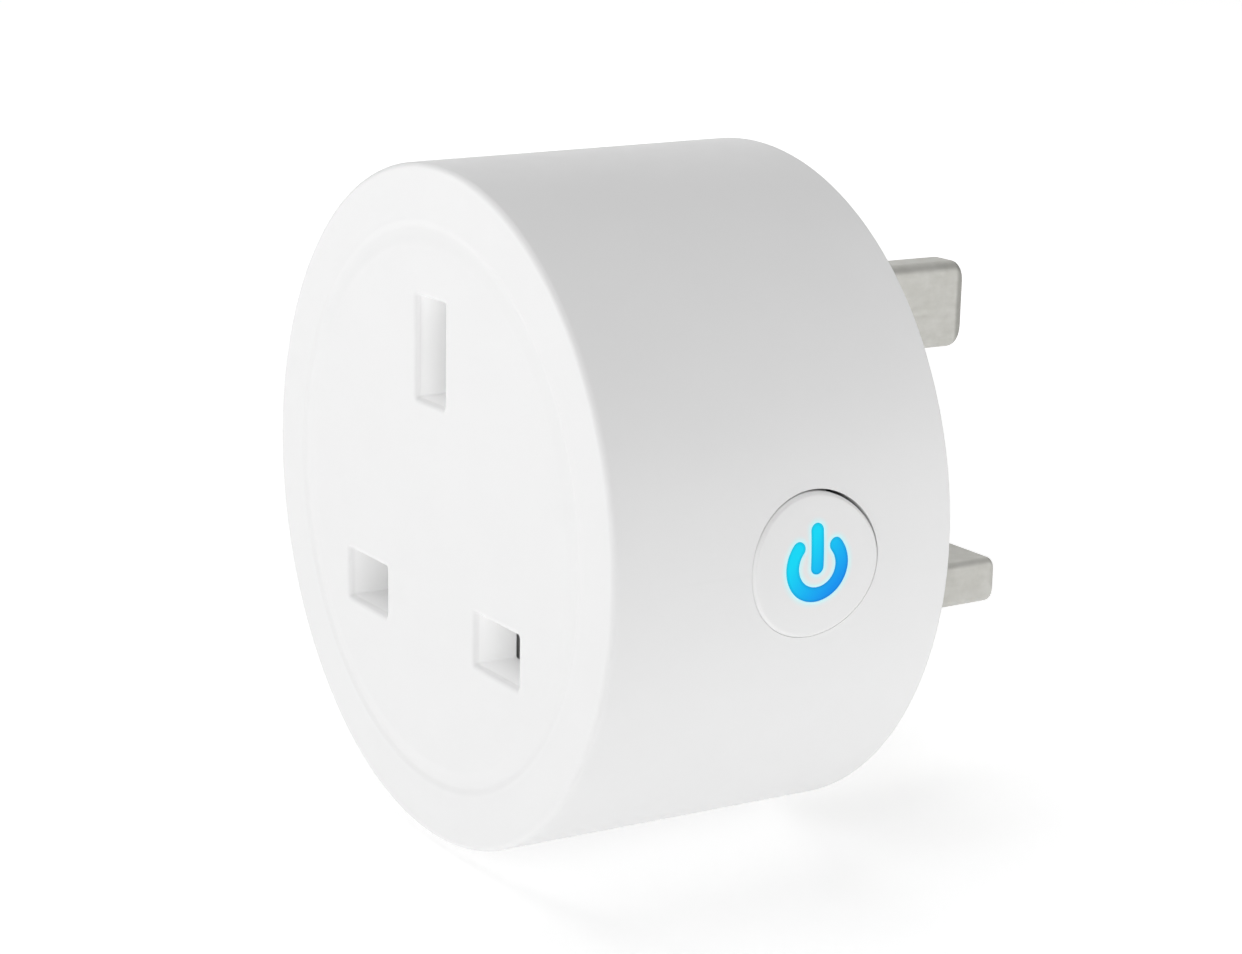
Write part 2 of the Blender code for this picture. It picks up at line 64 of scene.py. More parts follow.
def extent(node):
    """A CAD node's lowest and highest corners in millimetres."""
    low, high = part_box(node)
    return [v / MM for v in low], [v / MM for v in high]


def middle(node):
    """The middle of a CAD node's box in millimetres."""
    low, high = extent(node)
    return [(a + b) / 2 for a, b in zip(low, high)]


# Housing: a slightly tapered cup, open at the back
FRONT = extent("front_housing")[0][1]
FRONT_RADIUS, REAR_RADIUS = 28.35, extent("front_housing")[1][0]
INNER_RADIUS, FRONT_WALL = 25.9, 2.4
INNER_FRONT = FRONT + FRONT_WALL
RIM, REAR_RIM = 0.5, 0.2
GROOVE_INNER, GROOVE_FLOOR, GROOVE_OUTER, GROOVE_DEEP = 21.6, 23.1, 23.8, 0.14
COVER_THICK = 2.6
LIP_CLEAR, LIP_BREAK = 0.1, 0.12  # the gap round the cover, and the broken edge beside it
SHELL_SIDES = 256

# Mouldings inside the housing
ROOT = 1  # how far a moulding or a collar is sunk into the wall that it grows from
BOSS_RADIUS, BOSS_CLEAR, BOSS_EDGE = 3.2, 0.2, 0.3
BORE_RADIUS, BORE_DEEP = 1.15, 13
CARRIER_POST_X, CARRIER_POST_RADIUS, CARRIER_POST_END = 7.6, 1.4, -24.0
SPRING_SEAT_X, SPRING_SEAT_END, SPRING_SEAT_Z = (-3, 3), -23.9, (-23.0, -20.6)
COLLAR_WALL, COLLAR_CORNER, COLLAR_DEEP = 1.2, 0.6, 4.0
SLOT_FILLET, SLOT_CORNER = 0.5, 0.2

# Rear cover and its screws
COVER_RADIUS = extent("rear_cover")[1][0]
COVER_EDGE = 0.12
BOARD_POSTS, BOARD_POST_RADIUS = ((-13, 16.5), (13, 16.5), (0, -19.5)), 1.6
PIN_CLEAR, PIN_SLOT_CORNER = 0.12, 0.5
PIN_FLARE, PIN_FLARE_CORNER, PIN_FLARE_HALF = 0.6, 0.8, 0.15
MOUTH_EDGE, MOUTH_FLARE = 0.2, 0.4  # of a screw's hole
SCREWS = {name: (middle(name)[0], middle(name)[2]) for name in ("screw_top", "screw_left", "screw_right")}
SHANK_RADIUS, SHANK_TIP_RADIUS, SHANK_TIP, SHANK_HOLE = 0.98, 0.35, 0.8, 1.3
HEAD_RADIUS, HEAD_SEAT, HEAD_HOLE = 2.3, -1.75, 2.5
HEAD_DOME = ((-0.35, HEAD_RADIUS), (-0.15, 2.2), (-0.04, 1.95), (0, 1.6))  # (place from the top, radius)
DRIVE_LONG, DRIVE_WIDE, DRIVE_DEEP = 1.25, 0.27, 0.9

# Button
BUTTON_Y = middle("button_cap")[1]
BUTTON_FOOT = extent("button_cap")[0][0]
BUTTON_HOLE, HOLE_ROUND, HOLE_SIDES = 5.9, 0.04, 128
HOLE_START, HOLE_END = 20.0, 34.0
BUTTON_PROUD = 0.2
FLANGE_RADIUS, FLANGE_THICK, FLANGE_EDGE = 6.9, 0.9, 0.15
CAP_SIDES = 160
CAP_SLOPE = (  # (inset, drop) pairs: the slope round the cap's edge
    (0.0, 0.36), (0.0, 0.24), (0.02, 0.21), (0.20, 0.035), (0.27, 0.008), (0.36, 0.0))
CAP_TOP = (1.2, 2.0, 2.8, 3.6, 4.4, 5.1, 5.7)  # insets of the rings that give the cap's top its curve
CAP_GAP = 0.02
CAP_OPEN = ((0.20, 50, 5), (0.08, 100, 2))  # (width, direction in degrees, sharpness) where the gap widens
CAVITY_RADIUS, CAVITY_X = 4.4, 26.9

# Lit symbol and its light guide
ICON_INNER, ICON_OUTER, ICON_GAP_ANGLE = 1.69, 2.9, 49
ICON_BAR_HALF, ICON_BAR_LOW, ICON_BAR_HIGH = 0.6, -0.68, 3.4
ICON_SPAN = (CAVITY_X - 0.5, 31)
RING_STEPS, RING_END_STEPS, BAR_END_STEPS = 72, 10, 16
ICON_CLEAR, ICON_SUNK = 0.015, 0.02
GUIDE_CLEAR, GUIDE_PLATE = 0.1, (CAVITY_X - 1.0, CAVITY_X - 0.05)
GUIDE_STEM_START, GUIDE_STEM_RADIUS, STEM_EDGE = extent("light_guide")[0][0], 1.2, 0.3
SKIN_SIDES = 768

# Pins, sleeves and apertures. Centres, sections and slots are (x, z) pairs.
EARTH_Z, PITCH = 13.2, 22.23
LINE_Z, LINE_X = EARTH_Z - PITCH, PITCH / 2
Pole = namedtuple("Pole", "centre tail section slot corner tip")  # tip: its length, and the bite in x and z
LINE = {"section": (6.35, 3.97), "slot": (7.0, 4.3), "corner": 0.65, "tip": (0.9, 0.7, 1.0)}
POLES = {
    "earth": Pole((0.0, EARTH_Z), (0.0, 2.4), (3.97, 7.92), (4.8, 8.5), 0.95, (1.25, 0.65, 1.5)),
    "live": Pole((LINE_X, LINE_Z), (1.9, 0.0), **LINE),
    "neutral": Pole((-LINE_X, LINE_Z), (-1.9, 0.0), **LINE),
}
PIN_HEAD_START, PIN_HEAD_END, PIN_HEAD_GROW, PIN_HEAD_CORNER = -4.3, -2.7, 1.4, 0.5
TAIL_HALF_X, TAIL_HALF_Z, TAIL_END = 0.9, 0.5, -3.5
SLEEVE_START, SLEEVE_END, SLEEVE_STEP, SLEEVE_EDGE, SLEEVE_CORNER = -2.6, 9.5, 0.2, 0.06, 0.45
NECK_WIDE, NECK_CORNER, NECK_CLEAR = 5.0, 0.35, 0.1
NECK_BITE = LINE["section"][0] - NECK_WIDE
PIN_STEPS = 5  # points round each corner of a pin's outline

# Shutter and its spring
SHUTTER_REAR = -24.3
SHUTTER_BAR_TOP, SHUTTER_STEM_HALF = -6.2, 4
RAMP_HALF, RAMP_FOOT, RAMP_THICK, RAMP_TOP_THICK = 1.8, 8.9, 2.4, 2.5
SHUTTER_EDGE, SCREW_EDGE = 0.2, 0.04
SPRING_RADIUS, SPRING_WIRE, SPRING_TURNS = 1.1, 0.2, 5
SPRING_STEPS, WIRE_SIDES = 40, 12


# ---------------------------------------------------------------- shapes

def ring_at(axis, along, outline):
    """A flat outline at one place along an axis: its pairs are (y, z), (x, z) or (x, y)."""
    if axis == "x":
        return [(along, u, v) for u, v in outline]
    if axis == "y":
        return [(u, along, v) for u, v in outline]
    return [(u, v, along) for u, v in outline]


def circle(u, v, radius, sides):
    steps = [math.tau * i / sides for i in range(sides)]
    return [(u + radius * math.cos(a), v + radius * math.sin(a)) for a in steps]


def rounded(u, v, width, height, radius, steps=4):
    """A rectangle's outline with round corners; every call with the same steps gives equally many points."""
    radius = max(min(radius, width / 2 - 1e-4, height / 2 - 1e-4), 1e-4)
    points = []
    for corner, (su, sv) in enumerate(((1, 1), (-1, 1), (-1, -1), (1, -1))):
        for k in range(steps + 1):
            angle = math.pi / 2 * (corner + k / steps)
            points.append((u + su * (width / 2 - radius) + radius * math.cos(angle),
                           v + sv * (height / 2 - radius) + radius * math.sin(angle)))
    return points


def arc(centre, radius, start, end, steps):
    """Points on an arc, angles in degrees."""
    angles = [math.radians(start + (end - start) * k / steps) for k in range(steps + 1)]
    return [(centre[0] + radius * math.cos(a), centre[1] + radius * math.sin(a)) for a in angles]


def quarter(steps=ROUND_STEPS):
    """(sine, cosine) pairs over a quarter turn, from 0 to 90 degrees."""
    angles = [math.pi / 2 * k / steps for k in range(steps + 1)]
    return [(math.sin(a), math.cos(a)) for a in angles]


def loft(name, rings):
    """A solid through rings with equally many points, capped at its two ends."""
    count = len(rings[0])
    points = [[c * MM for c in p] for ring in rings for p in ring]
    faces = [tuple(range(count)), tuple(range(len(points) - count, len(points)))]
    for low in range(0, len(points) - count, count):
        high = low + count
        faces += [(low + i, low + (i + 1) % count, high + (i + 1) % count, high + i) for i in range(count)]
    mesh = bpy.data.meshes.new(name)
    mesh.from_pydata(points, [], faces)
    shell = bmesh.new()
    shell.from_mesh(mesh)
    bmesh.ops.recalc_face_normals(shell, faces=shell.faces)
    shell.to_mesh(mesh)
    shell.free()
    made = bpy.data.objects.new(name, mesh)
    bpy.context.scene.collection.objects.link(made)
    return made


def stack(name, axis, sections):
    """A solid through (place along the axis, outline) pairs."""
    return loft(name, [ring_at(axis, along, outline) for along, outline in sections])


def prism(name, axis, outline, span):
    return stack(name, axis, [(along, outline) for along in span])


def turned(name, axis, centre, profile, sides=64):
    """A round solid from (place along the axis, radius) pairs."""
    return stack(name, axis, [(along, circle(*centre, radius, sides)) for along, radius in profile])


def box(name, x, y, z):
    outline = [(x[1], z[1]), (x[0], z[1]), (x[0], z[0]), (x[1], z[0])]
    return prism(name, "y", outline, y)


def settle(target):
    """Puts the result of a piece's modifiers into its mesh."""
    bpy.context.view_layer.update()
    graph = bpy.context.evaluated_depsgraph_get()
    mesh = bpy.data.meshes.new_from_object(target.evaluated_get(graph))
    target.modifiers.clear()
    target.data = mesh


def combine(target, operation, tools):
    """Applies Boolean steps at once and removes the tools."""
    for tool in tools:
        step = target.modifiers.new(tool.name, "BOOLEAN")
        step.operation, step.solver, step.object = operation, "EXACT", tool
        settle(target)
        bpy.data.objects.remove(tool)


def cut(target, *tools):
    combine(target, "DIFFERENCE", tools)


def join(target, *tools):
    combine(target, "UNION", tools)


def keep_inside(target, tool):
    combine(target, "INTERSECT", [tool])


def bevel(target, width, segments):
    step = target.modifiers.new("edges", "BEVEL")
    step.width, step.segments, step.limit_method = width * MM, segments, "ANGLE"
    step.angle_limit = math.radians(BEVEL_ANGLE)
    step.miter_outer = "MITER_ARC"
    settle(target)
    return target


def finish(target, material, body, nodes, angle=SHARP_ANGLE):
    """Smooth shading weighted by face area, a material, and the piece's place in the CAD model's table."""
    mesh = target.data
    for face in mesh.polygons:
        face.use_smooth = True
    mesh.set_sharp_from_angle(angle=math.radians(angle))
    weighted = target.modifiers.new("shading", "WEIGHTED_NORMAL")
    weighted.keep_sharp = True
    mesh.materials.clear()
    mesh.materials.append(material)
    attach(target, body)
    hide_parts(*nodes)


def body_radius(y):
    """The outside radius of the housing at a place along its axis."""
    return FRONT_RADIUS + (REAR_RADIUS - FRONT_RADIUS) * (y - FRONT) / -FRONT


def side_x(y, z):
    """Where the housing's outer surface is, out along +X from (y, z)."""
    return math.sqrt(body_radius(y) ** 2 - z * z)


# ---------------------------------------------------------------- materials

class Nodes:
    """A material's node tree with short calls for the few node kinds used here."""

    def __init__(self, name):
        self.material = bpy.data.materials.new(name)
        self.material.use_nodes = True
        self.tree = self.material.node_tree
        self.surface = self.tree.nodes["Principled BSDF"]
        self.place = self.tree.nodes.new("ShaderNodeTexCoord").outputs["Object"]

    def feed(self, socket, value):
        """Gives a socket a colour, a number or another node's output."""
        if isinstance(value, tuple):
            socket.default_value = (*value, 1.0)
        elif isinstance(value, (int, float)):
            socket.default_value = value
        else:
            self.tree.links.new(value, socket)

    def set(self, **values):
        """Feeds the shader's own sockets, named with underscores for spaces, and returns the material."""
        for key, value in values.items():
            self.feed(self.surface.inputs[key.replace("_", " ")], value)
        return self.material

    def coordinates(self):
        """The place on the object in metres, as the outputs X, Y and Z."""
        split = self.tree.nodes.new("ShaderNodeSeparateXYZ")
        self.feed(split.inputs[0], self.place)
        return split.outputs

    def noise(self, scale, detail=3.0, stretch=(1, 1, 1), rough=0.5):
        """Noise with features of 1/scale millimetres, stretched along each axis."""
        mapping = self.tree.nodes.new("ShaderNodeMapping")
        mapping.inputs["Scale"].default_value = [1 / MM / s for s in stretch]
        self.feed(mapping.inputs["Vector"], self.place)
        texture = self.tree.nodes.new("ShaderNodeTexNoise")
        texture.inputs["Scale"].default_value = scale
        texture.inputs["Detail"].default_value = detail
        texture.inputs["Roughness"].default_value = rough
        self.feed(texture.inputs["Vector"], mapping.outputs["Vector"])
        return texture.outputs["Fac"]

    def spread(self, value, low, high, start=0.3, end=0.7):
        """A value between start and end mapped onto low to high."""
        node = self.tree.nodes.new("ShaderNodeMapRange")
        for key, number in (("From Min", start), ("From Max", end), ("To Min", low), ("To Max", high)):
            node.inputs[key].default_value = number
        self.feed(node.inputs["Value"], value)
        return node.outputs["Result"]

    def math(self, kind, *values):
        node = self.tree.nodes.new("ShaderNodeMath")
        node.operation = kind
        for socket, value in zip(node.inputs, values):
            self.feed(socket, value)
        return node.outputs["Value"]

    def mix(self, factor, first, second, blend="MIX"):
        """A colour between two colours, or another blend of them."""
        node = self.tree.nodes.new("ShaderNodeMix")
        node.data_type, node.blend_type = "RGBA", blend
        for socket, value in ((node.inputs[0], factor), (node.inputs[6], first), (node.inputs[7], second)):
            self.feed(socket, value)
        return node.outputs[2]

    def grey(self, value):
        """A grey colour from a number."""
        node = self.tree.nodes.new("ShaderNodeCombineColor")
        for key in ("Red", "Green", "Blue"):
            self.feed(node.inputs[key], value)
        return node.outputs["Color"]

    def bump(self, height, distance):
        """Bump of at most distance millimetres."""
        node = self.tree.nodes.new("ShaderNodeBump")
        node.inputs["Distance"].default_value = distance * MM
        self.feed(node.inputs["Height"], height)
        self.feed(self.surface.inputs["Normal"], node.outputs["Normal"])


WHITE, BLACK, FULL = (0.81, 0.81, 0.81), (0.0, 0.0, 0.0), (1.0, 1.0, 1.0)
NICKEL, NICKEL_BLOTCH = (0.665, 0.66, 0.63), (0.57, 0.565, 0.53)
TIP_DARK, TIP_DARK_BLEND = 1.1, 0.35  # how much of the earth pin's tip is darker, and how softly that starts
# Painted light on the aperture walls: an emission standing in for light that the plastic carries in from the
# face
SLOT_PAINTED_LIGHT = 0.24
SLOT_PAINTED_SHARES = {"earth": 1.1, "live": 0.95, "neutral": 0.7}
PAINTED_LIGHT_START, PAINTED_LIGHT_FULL = 0.15, 0.7  # depths behind the face between which the painted light on the aperture walls comes up
# The cap's halo is painted light: a pale tint and an emission round the symbol
HALO_TINT, HALO_LIGHT, HALO_WIDE, HALO_GLOW = (0.60, 0.90, 0.93), (0.0, 0.85, 1.0), 0.6, 0.08
CYAN, BLUE, BLEND_START, BLEND_END = (0.003, 0.69, 0.93), (0.004, 0.28, 0.88), -2.6, 3.6
SYMBOL_GLOW, EDGE_DIM, EDGE_WIDE = 0.95, (0.9, 0.74, 0.78), 0.28


def plastic(name, colour, roughness, grain=5.0, depth=0.004, tint=0.012):
    """Moulded plastic with a fine spark-eroded grain and faint cloudiness."""
    n = Nodes(name)
    n.bump(n.noise(grain, 4.0), depth)
    dull = tuple(c * (1 - tint) for c in colour)
    return n.set(Base_Color=n.mix(n.spread(n.noise(0.12, 2.0), 0, 1), dull, colour),
                 Roughness=n.spread(n.noise(0.5, 2.0), roughness - 0.04, roughness + 0.04))


def metal(name, colour, dark, roughness, stretch=(1, 12, 1), grain=3.0, depth=0.003, darker_from=None):
    """Plated metal with blotches, and marks drawn out along one axis; its colour is darker beyond the given
    place in Y.
    """
    n = Nodes(name)
    blotch = n.spread(n.noise(0.45, 4.0, rough=0.6), 0, 1)
    marks = n.noise(grain, 3.0, stretch)
    n.bump(marks, depth)
    from_marks = n.spread(marks, roughness - 0.05, roughness + 0.05)
    from_blotch = n.spread(blotch, -0.03, 0.03, 0, 1)
    plated = n.mix(blotch, dark, colour)
    # Darker colour over the tip, beyond the given place in Y
    if darker_from is not None:
        darker_tip = n.spread(n.coordinates()["Y"], 0.0, 1.0, darker_from * MM, (darker_from + TIP_DARK_BLEND) * MM)
        plated = n.mix(darker_tip, plated, tuple(0.8 * c for c in dark))
    return n.set(Base_Color=plated, Metallic=1.0, Roughness=n.math("ADD", from_marks, from_blotch))


def painted_slot_light(n):
    """Each aperture's share of the painted light where its walls are and 0 elsewhere, and the depth."""
    place = n.coordinates()

    def within(axis, centre, half):
        aside = n.math("ABSOLUTE", n.math("SUBTRACT", place[axis], centre * MM))
        return n.math("LESS_THAN", aside, half * MM)

    shares = 0.0
    for name, share in SLOT_PAINTED_SHARES.items():
        (x, z), (width, height) = POLES[name].centre, POLES[name].slot
        inside = n.math("MULTIPLY", within("X", x, width / 2 + SLOT_FILLET),
                        within("Z", z, height / 2 + SLOT_FILLET))
        shares = n.math("MULTIPLY_ADD", inside, share, shares)
    return shares, n.math("SUBTRACT", place["Y"], FRONT * MM)


def shell_plastic():
    """White plastic, with painted light on its thin aperture walls: an emission in place of the light that
    the translucent walls pass on from the face.
    """
    n = Nodes("shell_plastic")
    n.bump(n.noise(5.0, 4.0), 0.004)
    # Painted light: emission on the aperture walls, set by place and depth
    shares, depth = painted_slot_light(n)
    start = n.spread(depth, 0.0, 1.0, PAINTED_LIGHT_START * MM, PAINTED_LIGHT_FULL * MM)
    fade = n.spread(depth, 1.0, 0.45, PAINTED_LIGHT_FULL * MM, COLLAR_DEEP * MM)
    painted_light = n.math("MULTIPLY", n.math("MULTIPLY", start, fade), shares)
    dull = tuple(0.99 * c for c in WHITE)
    return n.set(Base_Color=n.mix(n.spread(n.noise(0.12, 2.0), 0, 1), dull, WHITE),
                 Roughness=n.spread(n.noise(0.5, 2.0), 0.40, 0.48), Specular_IOR_Level=0.35,
                 Emission_Color=n.mix(painted_light, BLACK, FULL), Emission_Strength=SLOT_PAINTED_LIGHT)


def symbol_distance(n):
    """How far a place is from the symbol's edge, negative inside it, and its y and z from the middle."""
    place = n.coordinates()
    y = n.math("MULTIPLY", n.math("SUBTRACT", place["Y"], BUTTON_Y * MM), 1 / MM)
    z = n.math("MULTIPLY", place["Z"], 1 / MM)

    def length(a, b):
        return n.math("SQRT", n.math("ADD", n.math("MULTIPLY", a, a), n.math("MULTIPLY", b, b)))

    # The nearest point on the ring's middle line is on the arc, or is an end of it in the gap at the top.
    middle_line, half = (ICON_INNER + ICON_OUTER) / 2, (ICON_OUTER - ICON_INNER) / 2
    end_y = middle_line * math.sin(math.radians(ICON_GAP_ANGLE))
    end_z = middle_line * math.cos(math.radians(ICON_GAP_ANGLE))
    out = length(y, z)
    to_arc = n.math("SUBTRACT", n.math("ABSOLUTE", n.math("SUBTRACT", out, middle_line)), half)
    to_end = n.math("SUBTRACT", length(n.math("SUBTRACT", n.math("ABSOLUTE", y), end_y),
                                       n.math("SUBTRACT", z, end_z)), half)
    in_gap = n.math("GREATER_THAN", n.math("DIVIDE", z, out), end_z / middle_line)
    ring = n.math("ADD", n.math("MULTIPLY", in_gap, to_end),
                  n.math("MULTIPLY", n.math("SUBTRACT", 1.0, in_gap), to_arc))
    low, high = ICON_BAR_LOW + ICON_BAR_HALF, ICON_BAR_HIGH - ICON_BAR_HALF
    along = n.math("MINIMUM", n.math("MAXIMUM", z, low), high)
    bar = n.math("SUBTRACT", length(y, n.math("SUBTRACT", z, along)), ICON_BAR_HALF)
    return n.math("MINIMUM", ring, bar), y, z


def cap_plastic():
    """The cap's plastic, with a painted pale halo, a tint and an emission, where the symbol's light would
    leak into it.
    """
    n = Nodes("cap_plastic")
    n.bump(n.noise(5.0, 4.0), 0.004)
    distance, _, _ = symbol_distance(n)
    halo = n.spread(distance, 1.0, 0.0, 0.0, HALO_WIDE)
    halo = n.math("MULTIPLY", halo, halo)
    return n.set(Base_Color=n.mix(halo, WHITE, HALO_TINT), Roughness=0.4, Specular_IOR_Level=0.4,
                 Emission_Color=n.mix(halo, BLACK, HALO_LIGHT), Emission_Strength=HALO_GLOW)


def symbol_glow():
    """The lit symbol: cyan at its upper front, blue at its lower back, a little dimmer at its edges."""
    n = Nodes("symbol_light")
    distance, y, z = symbol_distance(n)
    colour = n.mix(n.spread(n.math("SUBTRACT", y, z), 0, 1, BLEND_START, BLEND_END), CYAN, BLUE)
    edge = n.mix(n.spread(distance, 0, 1, -EDGE_WIDE, 0.0), FULL, EDGE_DIM)
    return n.set(Base_Color=(0.004, 0.02, 0.03), Roughness=0.5, Specular_IOR_Level=0.05,
                 Emission_Color=n.mix(1.0, colour, edge, "MULTIPLY"), Emission_Strength=SYMBOL_GLOW)


# ---------------------------------------------------------------- pieces

def face_profile():
    """The turned profile of the socket face and its rim, from the middle outwards, as (y, radius)."""
    points, steps = [(FRONT, GROOVE_INNER)], 8
    for start, end, falling in ((GROOVE_INNER, GROOVE_FLOOR, True), (GROOVE_FLOOR, GROOVE_OUTER, False)):
        for k in range(1, steps + 1):
            t = k / steps
            ease = t * t * (3 - 2 * t)
            points.append((FRONT + GROOVE_DEEP * (ease if falling else 1 - ease), start + (end - start) * t))
    points += [(FRONT + RIM * (1 - cos), FRONT_RADIUS - RIM * (1 - sin)) for sin, cos in quarter()]
    return points


def slot_tool(pole):
    """An aperture as a cutting tool, with a round edge where it meets the socket face."""
    (x, z), (width, height) = pole.centre, pole.slot
    flare = [(FRONT - 0.01, SLOT_FILLET + 0.1)]
    flare += [(FRONT + SLOT_FILLET * (1 - cos), SLOT_FILLET * (1 - sin)) for sin, cos in quarter()]
    flare.append((FRONT + COLLAR_DEEP + ROOT, 0.0))
    return stack("slot", "y", [(y, rounded(x, z, width + 2 * wider, height + 2 * wider, SLOT_CORNER + wider))
                               for y, wider in flare])


def hole_tool():
    """The button's hole as a cutting tool, with a small round where it meets the curved outside."""
    rings = [(BUTTON_HOLE + HOLE_ROUND * (1 - cos), HOLE_ROUND * (1 - sin)) for sin, cos in quarter()]
    rings.append((rings[-1][0] + 0.06, -0.01))  # just outside the surface, so that the cut goes through
    loops = [ring_at("x", HOLE_START, circle(BUTTON_Y, 0, BUTTON_HOLE, HOLE_SIDES))]
    for radius, drop in rings:
        loops.append([(side_x(y, z) - drop, y, z) for y, z in circle(BUTTON_Y, 0, radius, HOLE_SIDES)])
    loops.append(ring_at("x", HOLE_END, circle(BUTTON_Y, 0, rings[-1][0] + 0.02, HOLE_SIDES)))
    return loft("button_hole", loops)


def make_shell():
    lip, lip_front = COVER_RADIUS + LIP_CLEAR, -COVER_THICK - LIP_CLEAR
    rear = [(-REAR_RIM * (1 - sin), REAR_RADIUS - REAR_RIM * (1 - cos)) for sin, cos in quarter(6)]
    inside = [(0.0, lip + LIP_BREAK), (-LIP_BREAK, lip), (lip_front, lip), (lip_front, INNER_RADIUS),
              (INNER_FRONT, INNER_RADIUS)]
    shell = turned("housing_shell", "y", (0, 0), face_profile() + rear + inside, SHELL_SIDES)
    root = INNER_FRONT - ROOT
    added, removed = [], []
    for name, spot in SCREWS.items():
        end = -COVER_THICK - BOSS_CLEAR
        boss = [(root, BOSS_RADIUS + 0.1), (end - BOSS_EDGE, BOSS_RADIUS), (end, BOSS_RADIUS - BOSS_EDGE)]
        added.append(turned(f"boss_{name}", "y", spot, boss, 40))
        bore = [(end - BORE_DEEP, BORE_RADIUS), (end + 1, BORE_RADIUS)]
        removed.append(turned(f"bore_{name}", "y", spot, bore, 24))
    for x in (-CARRIER_POST_X, CARRIER_POST_X):
        post = [(root, CARRIER_POST_RADIUS), (CARRIER_POST_END, CARRIER_POST_RADIUS)]
        added.append(turned("carrier_post", "y", (x, 0), post, 24))
    added.append(box("spring_seat", SPRING_SEAT_X, (root, SPRING_SEAT_END), SPRING_SEAT_Z))
    for pole in POLES.values():
        (x, z), (width, height) = pole.centre, pole.slot
        grown = rounded(x, z, width + 2 * COLLAR_WALL, height + 2 * COLLAR_WALL, COLLAR_CORNER)
        added.append(prism("collar", "y", grown, (root, FRONT + COLLAR_DEEP)))
        removed.append(slot_tool(pole))
    join(shell, *added)
    cut(shell, *removed, hole_tool())
    finish(shell, shell_plastic(), "housing", ["front_housing"])


def cap_outline(inset):
    """The cap's outline as (y, z) pairs: tight in its hole at the lower front, open at the upper back."""
    points = []
    for angle in [math.tau * k / CAP_SIDES for k in range(CAP_SIDES)]:
        gap = CAP_GAP
        for wide, turn, sharp in CAP_OPEN:
            gap += wide * max(0.0, math.cos(angle - math.radians(turn))) ** sharp
        radius = (BUTTON_HOLE - gap) * (1 - inset / BUTTON_HOLE)
        points.append((BUTTON_Y + radius * math.cos(angle), radius * math.sin(angle)))
    return points


def symbol_prisms(gap):
    """The power symbol's open ring and bar as prisms along X, drawn in by gap all round."""
    inner, outer = ICON_INNER + gap, ICON_OUTER - gap
    mid, half = (inner + outer) / 2, (outer - inner) / 2
    start, end = 90 + ICON_GAP_ANGLE, 450 - ICON_GAP_ANGLE
    at_end = (mid * math.cos(math.radians(end)), mid * math.sin(math.radians(end)))
    at_start = (mid * math.cos(math.radians(start)), mid * math.sin(math.radians(start)))
    ring = arc((0, 0), outer, start, end, RING_STEPS)
    ring += arc(at_end, half, end, end + 180, RING_END_STEPS)[1:-1]
    ring += arc((0, 0), inner, end, start, RING_STEPS)
    ring += arc(at_start, half, start + 180, start + 360, RING_END_STEPS)[1:-1]
    half = ICON_BAR_HALF - gap
    bar = arc((0, ICON_BAR_HIGH - ICON_BAR_HALF), half, 0, 180, BAR_END_STEPS)
    bar += arc((0, ICON_BAR_LOW + ICON_BAR_HALF), half, 180, 360, BAR_END_STEPS)
    return [prism("symbol", "x", [(BUTTON_Y + u, v) for u, v in shape], ICON_SPAN) for shape in (ring, bar)]


def make_cap():
    flange = ((0, FLANGE_RADIUS - FLANGE_EDGE), (FLANGE_EDGE, FLANGE_RADIUS), (FLANGE_THICK, FLANGE_RADIUS))
    loops = [ring_at("x", BUTTON_FOOT + rise, circle(BUTTON_Y, 0, radius, CAP_SIDES))
             for rise, radius in flange]
    loops.append(ring_at("x", BUTTON_FOOT + FLANGE_THICK, cap_outline(0.0)))
    for inset, drop in CAP_SLOPE + tuple((inset, 0.0) for inset in CAP_TOP):
        loops.append([(side_x(y, z) + BUTTON_PROUD - drop, y, z) for y, z in cap_outline(inset)])
    cap = loft("button_cap_top", loops)
    cavity = [(BUTTON_FOOT - 1, CAVITY_RADIUS), (CAVITY_X, CAVITY_RADIUS)]
    cut(cap, turned("hollow", "x", (BUTTON_Y, 0), cavity), *symbol_prisms(0.0))
    finish(cap, cap_plastic(), "button", ["button_cap"])


def make_light_guide():
    """The plate and stem that bring the light up, with the symbol standing on the plate."""
    plate = [(x, CAVITY_RADIUS - GUIDE_CLEAR) for x in GUIDE_PLATE]
    guide = turned("symbol_light_guide", "x", (BUTTON_Y, 0), plate)
    stem = [(GUIDE_STEM_START, GUIDE_STEM_RADIUS - STEM_EDGE),
            (GUIDE_STEM_START + STEM_EDGE, GUIDE_STEM_RADIUS), (ICON_SPAN[0], GUIDE_STEM_RADIUS)]
    join(guide, *symbol_prisms(ICON_CLEAR), turned("stem", "x", (BUTTON_Y, 0), stem, 40))
    rise = BUTTON_PROUD - ICON_SUNK
    skin = [(y, body_radius(y) + rise) for y in (FRONT, 0)]
    keep_inside(guide, turned("skin", "y", (0, 0), skin, SKIN_SIDES))
    finish(guide, symbol_glow(), "button", ["light_guide"])


def grown_section(pole, growth, corner):
    """A pin's section as an outline, wider and higher by growth."""
    return rounded(*pole.centre, pole.section[0] + growth, pole.section[1] + growth, corner, PIN_STEPS)


def bare_pin(pole, start, end):
    """A pin's bare length along Y: round long edges, and a well rounded end."""
    (x, z), (width, height) = pole.centre, pole.section
    tip_long, tip_x, tip_z = pole.tip
    sections = [(start, grown_section(pole, 0, pole.corner))]
    for sin, cos in quarter():
        bite = 2 * (1 - cos)
        outline = rounded(x, z, width - tip_x * bite, height - tip_z * bite, pole.corner, PIN_STEPS)
        sections.append((end - tip_long * (1 - sin), outline))
    return sections


